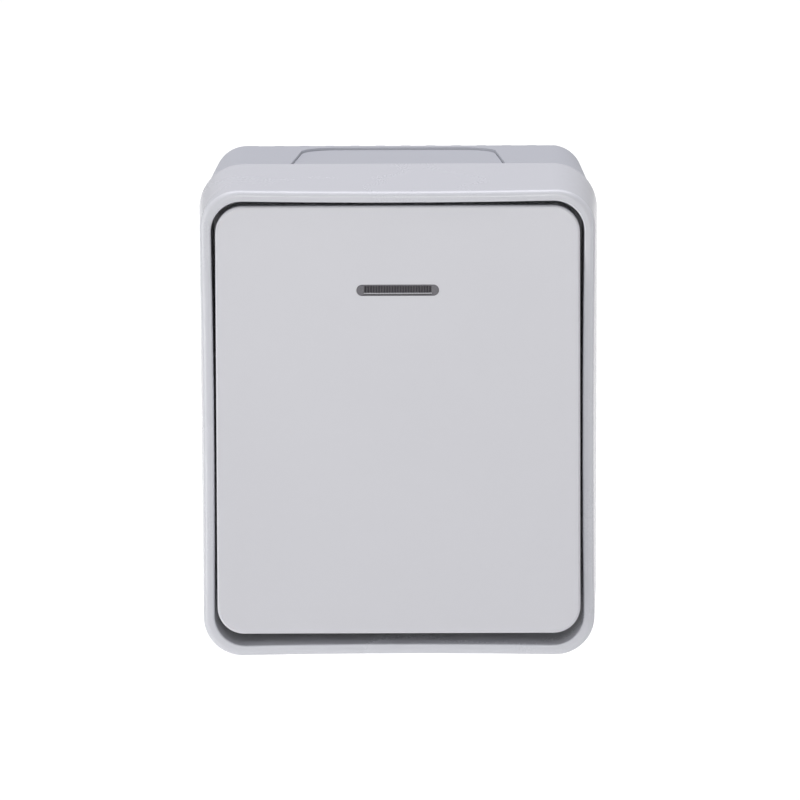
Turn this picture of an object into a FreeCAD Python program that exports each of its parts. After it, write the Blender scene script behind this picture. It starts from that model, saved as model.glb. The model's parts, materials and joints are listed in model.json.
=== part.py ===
import FreeCAD, Part
import math
import os
import re
import Sketcher

# Outdoor weatherproof switch, surface mounted, one rocker. Sizes in millimetres.
# X runs to the right, Z up, and the wall is the plane Y = 0. The viewer is on the -Y side, so "out"
# below means the distance from the wall, which is -Y. The origin is midway between the two wall screws.

sizes = {
    # Base box against the wall, drafted wider towards the front
    "base_width": 65.0,
    "base_height": 78.8,
    "base_corner": 5.7,
    "base_depth": 31.0,
    "base_spread": 1.2,
    "base_wall": 2.2,
    "base_floor": 3.0,
    "back_recess": 0.8,
    "back_rim": 3.4,
    "inner_round": 1.2,
    # Row of feet along the back rim
    "foot_pitch": 4.46,
    "foot_shift": 1.2,
    "foot_width": 1.6,
    "foot_height": 0.5,
    "foot_tall": 1.0,
    # Front cover, drafted narrower towards the rim, where the middle of each side is waisted
    "cover_step_side": 0.45,
    "cover_step_end": 0.4,
    "cover_corner": 7.7,
    "cover_depth": 24.0,
    "cover_taper": 0.95,
    "cover_wall": 2.3,
    "cover_rear_round": 0.3,
    "waist": 0.25,
    "rim_wall": 1.8,
    "rim_corner": 6.6,
    "rim_round": 1.0,
    "lip_corner": 5.2,
    "lip_round": 0.3,
    "well_depth": 11.5,
    "well_taper": 0.2,
    "well_floor": 2.0,
    # Spigot on the base that the cover slides over, and the gasket round it
    "spigot_height": 3.0,
    "spigot_gap": 0.15,
    "gasket_width": 1.5,
    "gasket_thickness": 1.2,
    "gasket_gap": 0.1,
    # Cable entry insert in the base's top wall
    "entry_front_width": 37.4,
    "entry_back_width": 34.2,
    "entry_back_out": 3.2,
    "entry_corner": 6.3,
    "entry_recess": 0.45,
    "entry_gap": 0.1,
    "entry_flange": 1.4,
    "entry_flange_thickness": 1.2,
    # Wall screws
    "wall_screw_inset": 9.4,
    "wall_screw_hole": 4.4,
    "wall_boss": 10.0,
    "wall_boss_height": 3.0,
    # Cover screws, their posts and their seals
    "cover_screw_inset_x": 7.0,
    "cover_screw_inset_z": 9.4,
    "cover_screw": 3.5,
    "cover_screw_head": 6.6,
    "cover_screw_head_height": 2.2,
    "cover_screw_bite": 9.8,
    "post_width": 7.4,
    "post_gap": 0.2,
    "pilot_spare": 3.2,
    "seal_ring": 0.7,
    "seal_ring_width": 1.3,
    # Rocker key
    "key_side_gap": 0.75,
    "key_end_gap": 2.05,
    "key_corner": 4.5,
    "key_face": 2.2,
    "key_wall": 1.8,
    "key_skirt": 9.0,
    "key_round": 0.45,
    "key_proud": 3.0,
    "key_to_pivot": 15.0,
    "key_tilt": 5.25,
    "clip_length": 16.0,
    "clip_wall": 1.5,
    "clip_hook": 0.8,
    # Indicator window in the key
    "lens_width": 13.9,
    "lens_height": 1.9,
    "lens_rise": 22.0,
    "lens_gap": 0.05,
    "lens_flange": 1.4,
    "lens_flange_thickness": 1.0,
    # Dolly that the key clips on: hood, hub, trunnions and stem
    "hood_width": 30.0,
    "hood_drop": 4.5,
    "hood_deck": 2.0,
    "hood_wall": 1.6,
    "hood_skirt": 6.0,
    "hood_gap": 0.1,
    "stem_web": 2.4,
    "hub_width": 17.2,
    "hub_round": 6.4,
    "trunnion": 3.0,
    "trunnion_gap": 0.05,
    "stem": 6.6,
    "stem_length": 14.0,
    # Plunger and its spring
    "plunger": 4.0,
    "plunger_gap": 0.05,
    "plunger_nose": 3.2,
    "plunger_nose_round": 1.4,
    "plunger_shoulder": 4.0,
    "plunger_length": 11.0,
    "spring_seat": 2.0,
    "spring_wire": 0.45,
    "spring_width": 3.1,
    "spring_turns": 6,
    # Seesaw contact lever and its fulcrum
    "lever_swing": 17.0,
    "lever_room": 2.6,
    "tail_cut": 1.0,
    "lever_end": 1.8,
    "lever_width": 6.0,
    "lever_thickness": 1.4,
    "lever_gap": 0.15,
    "fulcrum_sink": 0.56,
    "fulcrum_round": 1.6,
    "fulcrum_gap": 0.2,
    "fulcrum_height": 1.2,
    "tip_width": 3.0,
    "tip_thickness": 0.8,
    "tip_gap": 0.1,
    # Brass strips that lead from the terminals to the contacts
    "strip_width": 12.0,
    "strip_thickness": 1.0,
    "strip_end_gap": 0.3,
    "strip_lead": 3.0,
    "common_strip_end": 1.4,
    # Terminals
    "terminal_inset": 3.9,
    "terminal_head_gap": 2.71,
    "clamp_width": 7.4,
    "clamp_length": 6.0,
    "clamp_height": 7.6,
    "clamp_opening_width": 4.2,
    "clamp_opening_height": 4.6,
    "clamp_sill": 0.8,
    "terminal_screw": 3.0,
    "terminal_screw_head": 5.4,
    "terminal_screw_head_height": 2.0,
    "terminal_screw_bite": 1.6,
    # Screw slots
    "slot_width": 0.9,
    "slot_depth": 1.0,
    # Mechanism body and its cover
    "mechanism_side_gap": 1.9,
    "lamp_past_edge": 0.5,
    "mechanism_depth": 20.0,
    "mechanism_wall": 1.5,
    "mechanism_floor": 2.0,
    "partition_x": 7.2,
    "partition_wall": 1.2,
    "partition_drop": 2.0,
    "ear_reach": 7.4,
    "ear_width": 10.0,
    "ear_thickness": 2.0,
    "mechanism_screw": 3.0,
    "mechanism_screw_head": 5.6,
    "mechanism_screw_head_height": 1.8,
    "mechanism_screw_length": 8.0,
    "plate_thickness": 2.0,
    "plate_lip": 1.5,
    "plate_lip_wall": 1.2,
    "plate_gap": 0.1,
    "tower_wall": 2.1,
    "tower_gap": 0.3,
    "tower_height": 14.0,
    "tower_top": 2.9,
    # Rubber sleeve between the tower and the cover
    "aperture_gap": 0.4,
    "sleeve_wall": 2.2,
    # Indicator lamp, its holder, resistor, leads and light guide
    "lamp": 4.8,
    "lamp_length": 13.0,
    "lamp_lift": 0.1,
    "lamp_gap": 0.2,
    "holder_thickness": 1.2,
    "holder_margin": 3.0,
    "holder_cheek": 1.2,
    "holder_cheek_height": 2.6,
    "resistor": 2.2,
    "resistor_length": 6.4,
    "lead": 0.8,
    "lead_gap": 0.2,
    "lead_run": 3.2,
    "lead_offset": 3.4,
    "live_lead_x": 5.0,
    "common_tab": 4.0,
    "common_tab_z": 12.0,
    "guide_width": 15.8,
    "guide_height": 2.8,
    "guide_reach": 4.5,
    "guide_flange": 1.2,
    "guide_gap": 0.1,
}

# Sizes that follow from the ones above, so that each piece keeps fitting what it goes in, on or round
fits = {
    "cover_width": "base_width + 2*base_spread + 2*cover_step_side",
    "cover_height": "base_height + 2*base_spread + 2*cover_step_end",
    "key_width": "cover_width - 2*cover_taper - 2*rim_wall - 2*key_side_gap",
    "key_height": "cover_height - 2*cover_taper - 2*rim_wall - 2*key_end_gap",
    "wall_screw_pitch": "base_height - 2*wall_screw_inset",
    "cover_screw_x": "base_width/2 - cover_screw_inset_x",
    "cover_screw_z": "base_height/2 - cover_screw_inset_z",
    "cover_screw_length": "cover_depth - well_depth + seal_ring + cover_screw_bite",
    "pilot_depth": "cover_screw_bite + pilot_spare",
    # The lamp stands between the mechanism's plate and the light guide under the well floor.
    "lamp_room": "holder_thickness + lamp_lift + lamp + lamp_gap + guide_flange",
    "plate_front": "base_depth + cover_depth - well_depth - well_floor - lamp_room",
    "mechanism_seat": "plate_front - plate_thickness - mechanism_depth",
    "mechanism_width": "base_width - 2*base_wall - 2*ear_reach - 2*mechanism_side_gap",
    "mechanism_height": "2*lens_rise - 2*lamp_past_edge",
    "hood_height": "2*lens_rise - 2*hood_drop",
    "terminal_z": "mechanism_height/2 - mechanism_wall - terminal_inset",
    "lever_reach": "terminal_z - clamp_length/2 - lever_room",
    "lever_tail": "lever_reach - tail_cut",
    "fixed_strip_start": "lever_reach - strip_lead",
    # The strips lie as deep as the terminals on them need, and the plunger reaches down to the lever there.
    "terminal_room": "clamp_height + terminal_screw_head_height + terminal_head_gap",
    "strip_front": "plate_front - plate_thickness - terminal_room",
    "pivot_out": "base_depth + cover_depth + key_proud - key_to_pivot",
    "plunger_reach": "pivot_out - strip_front - fulcrum_height - fulcrum_sink - lever_thickness - lever_gap",
}

X_AXIS = FreeCAD.Vector(1, 0, 0)
Y_AXIS = FreeCAD.Vector(0, 1, 0)
Z_AXIS = FreeCAD.Vector(0, 0, 1)

doc = FreeCAD.newDocument("WeatherproofSwitch")
sheet = doc.addObject("Spreadsheet::Sheet", "Sizes")
for row, (name, number) in enumerate(sizes.items(), 1):
    sheet.set(f"A{row}", name)
    sheet.set(f"B{row}", str(number))
    sheet.setAlias(f"B{row}", name)
doc.recompute()


def bound(text):
    """The expression with each size's name pointing at its cell, and each fit worked out from those."""
    def cell(word):
        if word[0] in fits:
            return f"({bound(fits[word[0]])})"
        return f"Sizes.{word[0]}" if word[0] in sizes else word[0]

    return re.sub(r"[a-z][a-z_]+", cell, text)


def value(text):
    """The number that an expression gives now."""
    return float(sheet.evalExpression(bound(text)))


# Sketches

class Outline:
    """A sketch on one of a body's own planes, lifted along that plane's normal.

    On XZ the lift is the distance out from the wall, on YZ it is X, and on XY it is Z.
    """

    def __init__(self, body, plane, lift):
        self.body = body
        self.sketch = body.newObject("Sketcher::SketchObject", "Outline")
        face = [item for item in body.Origin.OriginFeatures if item.Role == f"{plane}_Plane"][0]
        self.sketch.AttachmentSupport = (face, [""])
        self.sketch.MapMode = "FlatFace"
        self.sketch.setExpression("AttachmentOffset.Base.z", bound(lift))

    def hold(self, kind, *where, size):
        """Ties one dimension of the sketch to an expression."""
        index = self.sketch.addConstraint(Sketcher.Constraint(kind, *where, value(size)))
        self.sketch.setExpression(f"Constraints[{index}]", bound(size))

    def join(self, kind, *ends):
        """Keeps two ends together, Coincident or also Tangent."""
        self.sketch.addConstraint(Sketcher.Constraint(kind, *ends))

    def place(self, item, point, across, up):
        """Holds a point of the sketch at two expressions."""
        self.hold("DistanceX", -1, 1, item, point, size=across)
        self.hold("DistanceY", -1, 1, item, point, size=up)

    def polygon(self, points):
        """Straight lines through points that are each held by two expressions."""
        places = [FreeCAD.Vector(value(across), value(up), 0) for across, up in points]
        count = len(points)
        lines = [Part.LineSegment(places[i], places[(i + 1) % count]) for i in range(count)]
        first = self.sketch.addGeometry(lines, False)[0]
        for i in range(count):
            self.join("Coincident", first + i, 2, first + (i + 1) % count, 1)
        for i, (across, up) in enumerate(points):
            self.place(first + i, 1, across, up)
        return self

    def rectangle(self, left, right, low, high):
        return self.polygon([(left, low), (right, low), (right, high), (left, high)])

    def circle(self, across, up, width):
        """A circle of the given diameter."""
        middle = FreeCAD.Vector(value(across), value(up), 0)
        item = self.sketch.addGeometry(Part.Circle(middle, Z_AXIS, value(width) / 2), False)
        self.place(item, 3, across, up)
        self.hold("Radius", item, size=f"({width})/2")
        return self

    def stadium(self, across, up, width, height):
        """A slot with round ends, lying along the sketch's first axis."""
        x, y, r = value(across), value(up), value(height) / 2
        half = value(width) / 2 - r
        quarter = math.pi / 2
        right = Part.ArcOfCircle(Part.Circle(FreeCAD.Vector(x + half, y, 0), Z_AXIS, r), -quarter, quarter)
        left = Part.ArcOfCircle(Part.Circle(FreeCAD.Vector(x - half, y, 0), Z_AXIS, r), quarter, 3 * quarter)
        top = Part.LineSegment(right.EndPoint, left.StartPoint)
        bottom = Part.LineSegment(left.EndPoint, right.StartPoint)
        first = self.sketch.addGeometry([right, top, left, bottom], False)[0]
        for i in range(4):
            self.join("Tangent", first + i, 2, first + (i + 1) % 4, 1)
        run = f"(({width}) - ({height}))/2"
        self.place(first, 3, f"({across}) + {run}", up)
        self.place(first + 2, 3, f"({across}) - {run}", up)
        self.hold("Radius", first, size=f"({height})/2")
        return self

    def rounded(self, width, height, radius, bow="0", across="0", up="0"):
        """A rectangle with round corners, whose sides may bow inwards at their middles."""
        r, inset = value(radius), value(bow)
        half = (value(width) / 2 - r, value(height) / 2 - r)
        middle = FreeCAD.Vector(value(across), value(up), 0)
        # A side that bows inwards by the inset is an arc of this radius, tangent to both corners.
        sweep = [(side * side + inset * inset) / (2 * inset) - r if inset else 0 for side in half]
        lean = [math.asin(side / (big + r)) if inset else 0 for side, big in zip(half, sweep)]
        corners = []
        for i, (sx, sy) in enumerate([(1, 1), (-1, 1), (-1, -1), (1, -1)]):
            spot = middle + FreeCAD.Vector(sx * half[0], sy * half[1], 0)
            before, after = (lean[1], lean[0]) if i % 2 == 0 else (lean[0], lean[1])
            start, end = i * math.pi / 2 - before, (i + 1) * math.pi / 2 + after
            corners.append(Part.ArcOfCircle(Part.Circle(spot, Z_AXIS, r), start, end))
        sides = []
        for i, (nx, ny) in enumerate([(0, 1), (-1, 0), (0, -1), (1, 0)]):
            along = i % 2
            if inset:
                away = half[1 - along] + (sweep[along] + r) * math.cos(lean[along])
                spot = middle + FreeCAD.Vector(nx * away, ny * away, 0)
                facing = math.atan2(-ny, -nx)
                circle = Part.Circle(spot, Z_AXIS, sweep[along])
                sides.append(Part.ArcOfCircle(circle, facing - lean[along], facing + lean[along]))
            else:
                sides.append(Part.LineSegment(corners[i].EndPoint, corners[(i + 1) % 4].StartPoint))
        first = self.sketch.addGeometry(corners + sides, False)[0]
        for i in range(4):
            side = first + 4 + i
            near = 1 if (sides[i].StartPoint - corners[i].EndPoint).Length < 1e-6 else 2
            self.join("Tangent", first + i, 2, side, near)
            self.join("Tangent", side, 3 - near, first + (i + 1) % 4, 1)
        run = (f"(({width})/2 - ({radius}))", f"(({height})/2 - ({radius}))")
        for i, (sx, sy) in enumerate(["++", "-+", "--", "+-"]):
            self.place(first + i, 3, f"({across}) {sx} {run[0]}", f"({up}) {sy} {run[1]}")
            self.hold("Radius", first + i, size=radius)
            if inset:
                span = run[i % 2]
                self.hold("Radius", first + 4 + i, size=f"({span}^2 + ({bow})^2)/(2*({bow})) - ({radius})")
        return self


# Features of a body

def new_body(label):
    body = doc.addObject("PartDesign::Body", label)
    body.Label = label
    return body


def pad(outline, length):
    """Adds material from the outline's plane along its normal."""
    feature = outline.body.newObject("PartDesign::Pad", "Pad")
    feature.Profile = outline.sketch
    feature.setExpression("Length", bound(length))
    return feature


def pocket(outline, depth):
    """Cuts from the outline's plane against its normal."""
    feature = outline.body.newObject("PartDesign::Pocket", "Pocket")
    feature.Profile = outline.sketch
    feature.setExpression("Length", bound(depth))
    return feature


def loft(start, end, cut=False):
    """Joins two like outlines with ruled faces."""
    kind = "PartDesign::SubtractiveLoft" if cut else "PartDesign::AdditiveLoft"
    feature = start.body.newObject(kind, "Loft")
    feature.Profile = start.sketch
    feature.Sections = [end.sketch]
    feature.Ruled = True
    return feature


def round_edges(body, radius, chosen):
    """Rounds the edges of the body so far that the test picks."""
    doc.recompute()
    base = body.Tip
    names = [f"Edge{i}" for i, edge in enumerate(base.Shape.Edges, 1) if chosen(edge.BoundBox)]
    feature = body.newObject("PartDesign::Fillet", "Fillet")
    feature.Base = (base, names)
    feature.setExpression("Radius", bound(radius))
    return feature


def at_out(box, out):
    """Whether an edge lies in the plane at this distance out from the wall."""
    return abs(box.YMin + out) < 1e-4 and abs(box.YMax + out) < 1e-4


# Primitive solids

def block(x, out, z):
    """A box between two expressions along each of X, out and Z."""
    solid = doc.addObject("Part::Box", "Block")
    solid.setExpression("Length", bound(f"({x[1]}) - ({x[0]})"))
    solid.setExpression("Width", bound(f"({out[1]}) - ({out[0]})"))
    solid.setExpression("Height", bound(f"({z[1]}) - ({z[0]})"))
    solid.setExpression("Placement.Base.x", bound(x[0]))
    solid.setExpression("Placement.Base.y", bound(f"-({out[1]})"))
    solid.setExpression("Placement.Base.z", bound(z[0]))
    return solid


def rod(width, x, out, z):
    """A cylinder of the given diameter that runs out from the wall between two expressions."""
    solid = doc.addObject("Part::Cylinder", "Rod")
    solid.Placement.Rotation = FreeCAD.Rotation(X_AXIS, 90)
    solid.setExpression("Radius", bound(f"({width})/2"))
    solid.setExpression("Height", bound(f"({out[1]}) - ({out[0]})"))
    solid.setExpression("Placement.Base.x", bound(x))
    solid.setExpression("Placement.Base.y", bound(f"-({out[0]})"))
    solid.setExpression("Placement.Base.z", bound(z))
    return solid


def cross_rod(width, x, out, z):
    """A cylinder of the given diameter that runs along X between two expressions."""
    solid = doc.addObject("Part::Cylinder", "CrossRod")
    solid.Placement.Rotation = FreeCAD.Rotation(Y_AXIS, 90)
    solid.setExpression("Radius", bound(f"({width})/2"))
    solid.setExpression("Height", bound(f"({x[1]}) - ({x[0]})"))
    solid.setExpression("Placement.Base.x", bound(x[0]))
    solid.setExpression("Placement.Base.y", bound(f"-({out})"))
    solid.setExpression("Placement.Base.z", bound(z))
    return solid


def cut(base, tool):
    result = doc.addObject("Part::Cut", "Cut")
    result.Base = base
    result.Tool = tool
    return result


def fuse(*solids):
    result = doc.addObject("Part::MultiFuse", "Fuse")
    result.Shapes = list(solids)
    return result


def group(label, solids):
    """Separate solids that share one node."""
    result = doc.addObject("Part::Compound", label)
    result.Links = solids
    result.Label = label
    return result


def labelled(label, solid):
    solid.Label = label
    return solid


def screw(width, head, head_height, x, z, seat, length):
    """A slotted screw whose head rests at one distance out and whose shank runs towards the wall."""
    shank = rod(width, x, (f"({seat}) - ({length})", seat), z)
    top = rod(head, x, (seat, f"({seat}) + ({head_height})"), z)
    slot = block(
        (f"({x}) - ({head})", f"({x}) + ({head})"),
        (f"({seat}) + ({head_height}) - slot_depth", f"({seat}) + 2*({head_height})"),
        (f"({z}) - slot_width/2", f"({z}) + slot_width/2"),
    )
    return cut(fuse(shank, top), slot)


# Places that several pieces share, each an expression on the sizes above

JOINT = "base_depth"
RIM = "(base_depth + cover_depth)"
WELL = "(base_depth + cover_depth - well_depth)"
WELL_BACK = f"({WELL} - well_floor)"
PIVOT = "pivot_out"
INNER_WIDTH = "(base_width - 2*base_wall)"
INNER_HEIGHT = "(base_height - 2*base_wall)"
INNER_CORNER = "(base_corner - base_wall)"
CAVITY_WIDTH = "(cover_width - 2*cover_wall)"
CAVITY_HEIGHT = "(cover_height - 2*cover_wall)"
CAVITY_CORNER = "(cover_corner - cover_wall)"
SPIGOT_WIDTH = f"({CAVITY_WIDTH} - 2*spigot_gap)"
SPIGOT_HEIGHT = f"({CAVITY_HEIGHT} - 2*spigot_gap)"
SPIGOT_CORNER = f"({CAVITY_CORNER} - spigot_gap)"
SPIGOT_TOP = "(base_depth + spigot_height)"
MECHANISM_FRONT = "(mechanism_seat + mechanism_depth)"
PLATE_FRONT = "plate_front"
MECHANISM_INNER_HEIGHT = "(mechanism_height - 2*mechanism_wall)"
TOWER_WIDTH = "(hub_width + 2*tower_gap + 2*tower_wall)"
STRIP_FRONT = "strip_front"
FULCRUM = f"({STRIP_FRONT} + fulcrum_height)"
STRIP_BACK = f"({STRIP_FRONT} - strip_thickness)"
STRIP_END = f"({MECHANISM_INNER_HEIGHT}/2 - strip_end_gap)"
LEVER_RISE = "((lever_thickness + fulcrum_sink)*cos(lever_swing/2))"
CONTACT_Z = "(lever_reach + (lever_thickness + fulcrum_sink)*sin(lever_swing/2))"
LENS_Z = "lens_rise"
HOLDER_FRONT = f"({PLATE_FRONT} + holder_thickness)"
LAMP_OUT = f"({HOLDER_FRONT} + lamp_lift + lamp/2)"
CHEEK_OUT = "(lamp_length/2 + holder_cheek)"
LEAD_Z = f"({LENS_Z} - lead_offset)"
COMMON_LEAD_X = f"-(partition_x + partition_wall + lead_gap + lead/2)"
RESISTOR_END = f"({CHEEK_OUT} + lead_run + resistor_length)"
HOLDER_RIGHT = f"({RESISTOR_END} + lead_run)"
HOLDER_LEFT = f"({COMMON_LEAD_X} - lead - lead_gap)"
HOLDER_LOW = f"({LEAD_Z} - lead - lead_gap)"
HOLDER_HIGH = f"({LENS_Z} + holder_margin)"
COVER_SCREW_SPOTS = [(f"{sx}cover_screw_x", f"{sz}cover_screw_z") for sx in ("", "-") for sz in ("", "-")]
WALL_SCREW_SPOTS = [("0", "wall_screw_pitch/2"), ("0", "-wall_screw_pitch/2")]
EAR_X = "(mechanism_width/2 + ear_reach/2)"


def ring(body, lift, height, outer, inner):
    """Pads the band between two rounded rectangles, each given as width, height and corner."""
    band = Outline(body, "XZ", lift)
    band.rounded(*outer)
    band.rounded(*inner)
    return pad(band, height)


# Base box

def entry_outline(body, plane_lift, gap, front):
    """The cable entry's plan in the top wall: straight tapering sides and round back corners."""
    plan = Outline(body, "XY", plane_lift)
    bend = "(entry_back_out + entry_corner)"
    slope = f"((entry_front_width - entry_back_width)/2/(base_depth - {bend}))"
    wide = f"(entry_back_width/2 + {slope}*(({front}) - {bend}) - ({gap}))"
    narrow = f"(entry_back_width/2 - ({gap}))"
    radius = f"(entry_corner - ({gap}))"
    flat = "(entry_back_width/2 - entry_corner)"
    back = f"(entry_back_out + ({gap}))"
    points = [
        (f"-{wide}", f"-({front})"), (wide, f"-({front})"), (narrow, f"-{bend}"),
        (flat, f"-{back}"), (f"-{flat}", f"-{back}"), (f"-{narrow}", f"-{bend}"),
    ]
    spots = [FreeCAD.Vector(value(across), value(up), 0) for across, up in points]
    quarter = math.pi / 2
    bends = []
    for across, begin in ((flat, 0), (f"-{flat}", quarter)):
        hub = Part.Circle(FreeCAD.Vector(value(across), -value(bend), 0), Z_AXIS, value(radius))
        bends.append(Part.ArcOfCircle(hub, begin, begin + quarter))
    sides = [
        Part.LineSegment(spots[0], spots[1]), Part.LineSegment(spots[1], spots[2]), bends[0],
        Part.LineSegment(spots[3], spots[4]), bends[1], Part.LineSegment(spots[5], spots[0]),
    ]
    first = plan.sketch.addGeometry(sides, False)[0]
    for i in range(6):
        plan.join("Coincident", first + i, 2, first + (i + 1) % 6, 1)
    for i, (across, up) in enumerate(points):
        plan.place(first + i, 1, across, up)
    plan.hold("Radius", first + 2, size=radius)
    plan.hold("Radius", first + 4, size=radius)
    return plan


def make_base_box():
    body = new_body("base_box")
    back = Outline(body, "XZ", "0").rounded("base_width", "base_height", "base_corner")
    front = Outline(body, "XZ", JOINT).rounded(
        "base_width + 2*base_spread", "base_height + 2*base_spread", "base_corner + base_spread")
    loft(back, front)
    # The spigot stands on the front edge, inside the line where the cover meets the box.
    pad(Outline(body, "XZ", JOINT).rounded(SPIGOT_WIDTH, SPIGOT_HEIGHT, SPIGOT_CORNER), "spigot_height")
    inside = Outline(body, "XZ", SPIGOT_TOP).rounded(INNER_WIDTH, INNER_HEIGHT, INNER_CORNER)
    pocket(inside, f"{SPIGOT_TOP} - base_floor")
    round_edges(body, "inner_round", lambda box: at_out(box, value("base_floor")))
    # Posts for the cover screws, posts for the mechanism and bosses round the wall screws
    posts = Outline(body, "XZ", "base_floor")
    for x, z in COVER_SCREW_SPOTS:
        posts.circle(x, z, "post_width")
    pad(posts, f"{JOINT} - base_floor")
    seats = Outline(body, "XZ", "base_floor")
    for side in ("", "-"):
        seats.circle(f"{side}{EAR_X}", "0", "post_width")
    pad(seats, "mechanism_seat - base_floor")
    bosses = Outline(body, "XZ", "base_floor")
    for x, z in WALL_SCREW_SPOTS:
        bosses.circle(x, z, "wall_boss")
    pad(bosses, "wall_boss_height")
    pilots = Outline(body, "XZ", JOINT)
    for x, z in COVER_SCREW_SPOTS:
        pilots.circle(x, z, "cover_screw")
    pocket(pilots, "pilot_depth")
    seat_pilots = Outline(body, "XZ", "mechanism_seat")
    for side in ("", "-"):
        seat_pilots.circle(f"{side}{EAR_X}", "0", "mechanism_screw")
    pocket(seat_pilots, "mechanism_screw_length - ear_thickness + post_gap")
    # The back is hollowed inside its rim, but stays flush round the wall screws.
    hollow = Outline(body, "XZ", "back_recess")
    hollow.rounded("base_width - 2*back_rim", "base_height - 2*back_rim", "base_corner - back_rim")
    for x, z in WALL_SCREW_SPOTS:
        hollow.circle(x, z, "wall_boss")
    pocket(hollow, "back_recess")
    holes = Outline(body, "XZ", "base_floor + wall_boss_height")
    for x, z in WALL_SCREW_SPOTS:
        holes.circle(x, z, "wall_screw_hole")
    pocket(holes, "base_floor + wall_boss_height")
    # Notches in the outer back edge leave a row of feet along the top and the bottom.
    notches = Outline(body, "XZ", "foot_height")
    run = value("(base_width/2 - base_corner)/foot_pitch")
    for row in range(-math.floor(run + 0.5), math.floor(run + 0.5)):
        middle = f"foot_shift + foot_pitch*{row + 0.5}"
        left, right = (f"{middle} {sign} (foot_pitch - foot_width)/2" for sign in "-+")
        notches.rectangle(left, right, "base_height/2 - foot_tall", "base_height/2 + base_spread")
        notches.rectangle(left, right, "-base_height/2 - base_spread", "foot_tall - base_height/2")
    pocket(notches, "foot_height")
    # The cable entry is cut through the top wall and stays open towards the cover.
    top = "base_height/2 + 2*base_spread"
    pocket(entry_outline(body, top, "0", SPIGOT_TOP), f"{top} - {INNER_HEIGHT}/2 + base_wall")
    return body


def make_entry_insert():
    """The plate that fills the cable entry, sunk a little below the wall and flanged inside it."""
    body = new_body("entry_insert")
    inner = f"({INNER_HEIGHT}/2)"
    # Its outer face follows the wall's draft, at the recess's depth below it.
    side = Outline(body, "YZ", "-entry_front_width")
    rear_top = "(base_height/2 - entry_recess)"
    front_top = "(base_height/2 + base_spread - entry_recess)"
    step = f"({SPIGOT_HEIGHT}/2)"
    side.polygon([
        ("0", inner), ("0", rear_top), (f"-{JOINT}", front_top), (f"-{JOINT}", step),
        (f"-{SPIGOT_TOP}", step), (f"-{SPIGOT_TOP}", inner),
    ])
    pad(side, "2*entry_front_width")
    # Everything outside the entry's own plan is cut away.
    top = "base_height/2 + 2*base_spread"
    waste = entry_outline(body, top, "entry_gap", f"{SPIGOT_TOP}")
    waste.rectangle("-2*entry_front_width", "2*entry_front_width", f"-{SPIGOT_TOP} - base_wall", "base_wall")
    pocket(waste, f"{top} - {inner} + base_wall")
    # The flange bears on the wall from inside, and stops short of the rounded foot of the wall.
    flange = Outline(body, "XY", f"{inner} - entry_flange_thickness").rectangle(
        "-entry_front_width/2 - entry_flange", "entry_front_width/2 + entry_flange",
        f"-{JOINT}", "-base_floor - inner_round - entry_gap")
    pad(flange, "entry_flange_thickness")
    return body


# Front cover and its seals

def make_front_cover():
    body = new_body("front_cover")
    rear = Outline(body, "XZ", JOINT).rounded("cover_width", "cover_height", "cover_corner")
    rim_size = ("(cover_width - 2*cover_taper)", "(cover_height - 2*cover_taper)")
    rim = Outline(body, "XZ", RIM).rounded(*rim_size, "rim_corner", "waist")
    loft(rear, rim)
    round_edges(body, "rim_round", lambda box: at_out(box, value(RIM)))
    round_edges(body, "cover_rear_round", lambda box: at_out(box, value(JOINT)))
    # The well, a little narrower at its floor than at its lip
    lip_size = tuple(f"({size} - 2*rim_wall)" for size in rim_size)
    lip = Outline(body, "XZ", RIM).rounded(*lip_size, "lip_corner", "waist")
    floor_size = tuple(f"({size} - 2*well_taper)" for size in lip_size)
    floor = Outline(body, "XZ", WELL).rounded(*floor_size, "lip_corner - well_taper", "waist")
    loft(lip, floor, cut=True)
    reach = value("cover_width/2 - cover_taper - rim_wall + waist")
    round_edges(
        body, "lip_round", lambda box: at_out(box, value(RIM)) and -reach < box.XMin and box.XMax < reach)
    # The hollow behind the well floor, with the rebate for the gasket round its mouth
    hollow = Outline(body, "XZ", WELL_BACK).rounded(CAVITY_WIDTH, CAVITY_HEIGHT, CAVITY_CORNER)
    pocket(hollow, f"{WELL_BACK} - {JOINT}")
    rebate = Outline(body, "XZ", "base_depth + gasket_thickness").rounded(
        f"{SPIGOT_WIDTH} + 2*gasket_width + 2*gasket_gap", f"{SPIGOT_HEIGHT} + 2*gasket_width + 2*gasket_gap",
        f"{SPIGOT_CORNER} + gasket_width + gasket_gap")
    pocket(rebate, "gasket_thickness")
    # Tubes round the cover screws reach back to the posts of the base box.
    tubes = Outline(body, "XZ", f"{JOINT} + post_gap")
    for x, z in COVER_SCREW_SPOTS:
        tubes.circle(x, z, "post_width")
    pad(tubes, f"{WELL_BACK} - {JOINT} - post_gap")
    openings = Outline(body, "XZ", WELL)
    for x, z in COVER_SCREW_SPOTS:
        openings.circle(x, z, "cover_screw + 2*post_gap")
    openings.rectangle(
        f"-{TOWER_WIDTH}/2 - aperture_gap", f"{TOWER_WIDTH}/2 + aperture_gap",
        "-tower_height/2 - tower_wall - aperture_gap", "tower_height/2 + tower_wall + aperture_gap")
    openings.rectangle(
        "-guide_width/2 - guide_gap", "guide_width/2 + guide_gap",
        f"{LENS_Z} - guide_height/2 - guide_gap", f"{LENS_Z} + guide_height/2 + guide_gap")
    pocket(openings, f"{WELL} - {JOINT}")
    return body


def make_cover_gasket():
    body = new_body("cover_gasket")
    outer = (
        f"{SPIGOT_WIDTH} + 2*gasket_width", f"{SPIGOT_HEIGHT} + 2*gasket_width",
        f"{SPIGOT_CORNER} + gasket_width")
    ring(body, JOINT, "gasket_thickness", outer, (SPIGOT_WIDTH, SPIGOT_HEIGHT, SPIGOT_CORNER))
    return body


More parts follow.
